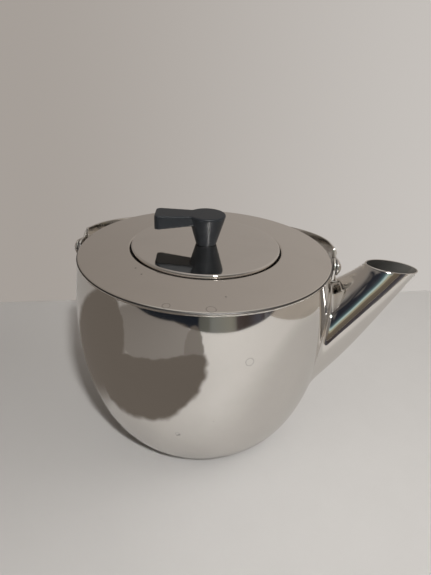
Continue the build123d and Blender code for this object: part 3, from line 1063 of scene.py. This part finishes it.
def wall_tone(finish, across):
    """Pale wall colour with painted light, lighter from left to right, by a slope across the view."""
    return finish.colours(across.ramp(-0.5, 0.6), WALL_LEFT, WALL_RIGHT)


def seen(finish):
    """1 where the camera, or polished metal or glass, looks at it; 0 for the light it gives."""
    path = finish.node("ShaderNodeLightPath", raw=True)
    camera, glossy, clear = (Value(finish, path.outputs[f"Is {kind} Ray"])
                             for kind in ("Camera", "Glossy", "Transmission"))
    return camera.over(glossy).over(clear)


def counter_top():
    """Pale matt counter with painted shade that darkens it to the left, and that fades to the wall's
    tone far away.
    """
    f = Finish("counter_top")
    where = f.place()
    x, y, _ = f.axes(where)
    mottle = f.noise(where, 30.0, 5.0, 0.6)
    paint = f.colours(mottle, (0.565, 0.551, 0.534), (0.595, 0.581, 0.564))
    # painted shade: the paint darkens towards the left, away from the light
    paint = f.colours(x.ramp(-0.35, 0.15), (0.47, 0.456, 0.443), paint)
    distance = (x * x + y * y).math("SQRT")
    tone = f.glow(wall_tone(f, x / (y.size() + distance * 0.05)))
    top = f.principled(Base_Color=paint, Roughness=0.55)
    return f.done(f.either(seen(f) * distance.ramp(0.55, 1.6), top, tone))


def wall_paint():
    """The wall's tone in front and clear behind."""
    f = Finish("wall_paint")
    x, y, _ = f.axes(f.place())
    tone = f.glow(wall_tone(f, x / (y + TONE_POINT).over(0.05)))
    rear = Value(f, f.node("ShaderNodeNewGeometry", raw=True).outputs["Backfacing"])
    return f.done(f.either(rear, tone, f.clear()))


def off_the_light(piece):
    """Let a piece neither shade the others nor light them."""
    piece.visible_shadow = False
    piece.visible_diffuse = False


counter = sheet("counter", (COUNTER_SIZE, COUNTER_SIZE), (0, 0, 0))
counter.data.materials.append(counter_top())

# the wall shows only its front: from behind it is clear, so the kettle stays in sight
wall = sheet("wall", (COUNTER_SIZE, WALL_HEIGHT), (0, WALL_OUT, WALL_HEIGHT / 2),
             (radians(90), 0, radians(WALL_TURN)))
wall.data.materials.append(wall_paint())
off_the_light(wall)
wall.visible_glossy = False


def card(name, size, place, turn, finish, lift=CARD_LIFT):
    """Studio card flat on the counter, seen only in the polished metal."""
    piece = sheet(name, size, (*place, lift), (0, 0, radians(turn)))
    piece.data.materials.append(finish)
    off_the_light(piece)
    piece.visible_camera = False


def banded_card():
    """Dark card in front with bands that run towards the kettle: plain light given off, no shine.

    The bands go by the slope, sideways over depth, from -2.5 at the first stop to 2.5 at the last.
    """
    f = Finish("banded_card")
    x, y, _ = f.axes(f.place())
    slope = x / (0.0 - y).over(0.02)
    bands = f.stripes(slope * 0.2 + 0.5, [
        (0.0, (0.10, 0.088, 0.075)), (0.28, (0.07, 0.062, 0.055)), (0.33, (0.012, 0.014, 0.018)),
        (0.508, (0.013, 0.016, 0.022)), (0.512, (0.10, 0.10, 0.088)), (0.535, (0.12, 0.12, 0.105)),
        (0.545, (0.19, 0.195, 0.18)), (0.60, (0.23, 0.22, 0.185)), (0.615, (0.17, 0.16, 0.14)),
        (0.622, (0.07, 0.055, 0.052)), (0.66, (0.05, 0.038, 0.034)), (0.72, (0.075, 0.072, 0.085)),
        (0.76, (0.06, 0.05, 0.05)), (0.77, (0.16, 0.155, 0.16)), (0.80, (0.08, 0.08, 0.09)),
        (0.87, (0.09, 0.075, 0.07)), (0.88, (0.38, 0.34, 0.29)), (1.0, BOARD_TONE)])
    return f.done(f.glow(bands))


def plain_card(name, colour):
    """Card of one plain tone with a faint mottle."""
    f = Finish(name)
    cloud = f.noise(f.place(), 3.0, 3.0)
    return f.done(f.glow(f.colours(cloud, colour, shaded(colour, 0.85))))


def pool(x, y, centre, reach, turn, soft):
    """1 inside an oval on the floor that is turned by some degrees, fading over its edge."""
    c, s = cos(radians(turn)), sin(radians(turn))
    across = ((x - centre[0]) * c + (y - centre[1]) * s) / reach[0]
    along = ((y - centre[1]) * c - (x - centre[0]) * s) / reach[1]
    return 1.0 - (across * across + along * along).ramp(1 - soft, 1 + soft)


def shade_card():
    """Brown-grey pools of shade with soft wandering edges, clear elsewhere."""
    f = Finish("shade_card")
    where = f.place()
    wander = (f.noise(where, 14.0, 3.0, 0.6) - 0.5) * 0.03
    x, y, _ = f.axes(where)
    x, y = x + wander, y + wander
    cover = pool(x, y, (-0.085, -0.185), (0.195, 0.075), -50, 0.14)
    cover = cover.over(pool(x, y, (-0.36, -0.10), (0.28, 0.15), 25, 0.2))
    cover = cover.over(pool(x, y, (0.0, -0.42), (0.045, 0.20), 0, 0.2) * 0.85)
    cover = cover.over(pool(x, y, (-0.26, -0.42), (0.27, 0.26), 0, 0.12) * 0.72)
    cover = cover.over(pool(x, y, (0.17, 0.0), (0.24, 0.15), 0, 0.6) * 0.25)
    shade = (0.145, 0.125, 0.107)
    return f.done(f.either(cover, f.clear(), f.glow(shade)))


front_look = banded_card()
card("front_board", (24.0, 12.0), (2.39, -6.06), 21.8, front_look)
card("corner_board", (1.0, 1.2), (-0.821, -0.981), -24, front_look, CARD_LIFT + 2 * CARD_STEP)
card("right_board", (3.0, 2.6), (1.468, 1.402), 21, plain_card("right_board", BOARD_TONE))
card("shade_board", (1.34, 0.78), (-0.17, -0.23), 0, shade_card(), CARD_LIFT + CARD_STEP)

# the room, by direction: a wall tone behind, a dark striped front between high and low, pale above
world = bpy.data.worlds.new("soft_room")
scene.world = world
w = Finish("soft_room", world)
aim_x, aim_y, aim_z = w.axes(w.place("Generated"))
room = w.colours(aim_x.ramp(-0.8, 0.7), (0.245, 0.218, 0.195), (0.43, 0.395, 0.362))
room = w.colours((0.0 - aim_y).ramp(-0.2, 0.4), room, (0.20, 0.185, 0.173))
# the striped part: a slanting doorway, a band high up and all that lies below the counter's level
lean = aim_z + aim_x * 0.9
doorway = lean.ramp(0.42, 0.50) * (1.0 - lean.ramp(0.68, 0.78))
striped = doorway.over(aim_z.ramp(0.70, 0.76)).over(1.0 - aim_z.ramp(0.03, 0.08))
striped = (0.0 - aim_y).ramp(0.15, 0.42) * (1.0 - aim_z.ramp(0.86, 0.94)) * striped
front = w.stripes(aim_z * 0.5 + 0.5, [
    (0.0, (0.03, 0.028, 0.026)), (0.505, (0.12, 0.10, 0.078)), (0.625, (0.16, 0.13, 0.095)),
    (0.64, (0.36, 0.33, 0.24)), (0.67, (0.36, 0.34, 0.25)), (0.685, (0.48, 0.57, 0.50)),
    (0.715, (0.40, 0.52, 0.53)), (0.735, (0.10, 0.17, 0.18)), (0.77, (0.04, 0.055, 0.068)),
    (0.82, (0.018, 0.020, 0.028)), (0.88, (0.018, 0.020, 0.027)), (0.895, (0.10, 0.092, 0.088)),
    (0.91, (0.03, 0.028, 0.032)), (0.94, (0.13, 0.12, 0.112))])
room = w.colours(striped, room, front)
room = w.colours(aim_z.ramp(0.80, 0.98), room, (0.50, 0.48, 0.45))
# the camera itself sees the wall's tone past the end of the counter
path = w.node("ShaderNodeLightPath", raw=True)
backdrop = wall_tone(w, aim_x / (aim_y.size() + 0.05))
room = w.colours(Value(w, path.outputs["Is Camera Ray"]), room, backdrop)
sky = w.node("ShaderNodeBackground", {}, {"Color": room, "Strength": 1.0})
w.node("ShaderNodeOutputWorld", {}, {"Surface": sky}, raw=True)

KETTLE_MIDDLE = Vector((0, 0, 0.08))


def soft_light(name, size, location, power):
    """Square softbox aimed at the kettle."""
    lamp = bpy.data.lights.new(name, "AREA")
    lamp.shape = "RECTANGLE"
    lamp.size, lamp.size_y = size
    lamp.energy = power
    holder = bpy.data.objects.new(name, lamp)
    holder.location = location
    holder.rotation_euler = (KETTLE_MIDDLE - Vector(location)).to_track_quat("-Z", "Y").to_euler()
    scene.collection.objects.link(holder)
    return holder


soft_light("window", (0.7, 0.5), (0.9, 0.1, 0.95), 2.8).visible_glossy = False
soft_light("key_light", (0.10, 0.10), (0.392, -0.881, 1.149), 14.2)

# ------------------------------------------------------------------ camera
lens = bpy.data.cameras.new("camera")
lens.lens = 28.17
lens.sensor_width = 36.0
lens.clip_start = 0.01
camera = bpy.data.objects.new("camera", lens)
camera.location = (0.0331, -0.32026, 0.28323)
camera.rotation_euler = (radians(62.36945), radians(-2.56958), radians(5.64439))
scene.collection.objects.link(camera)
scene.camera = camera
scene.view_settings.view_transform = "Standard"
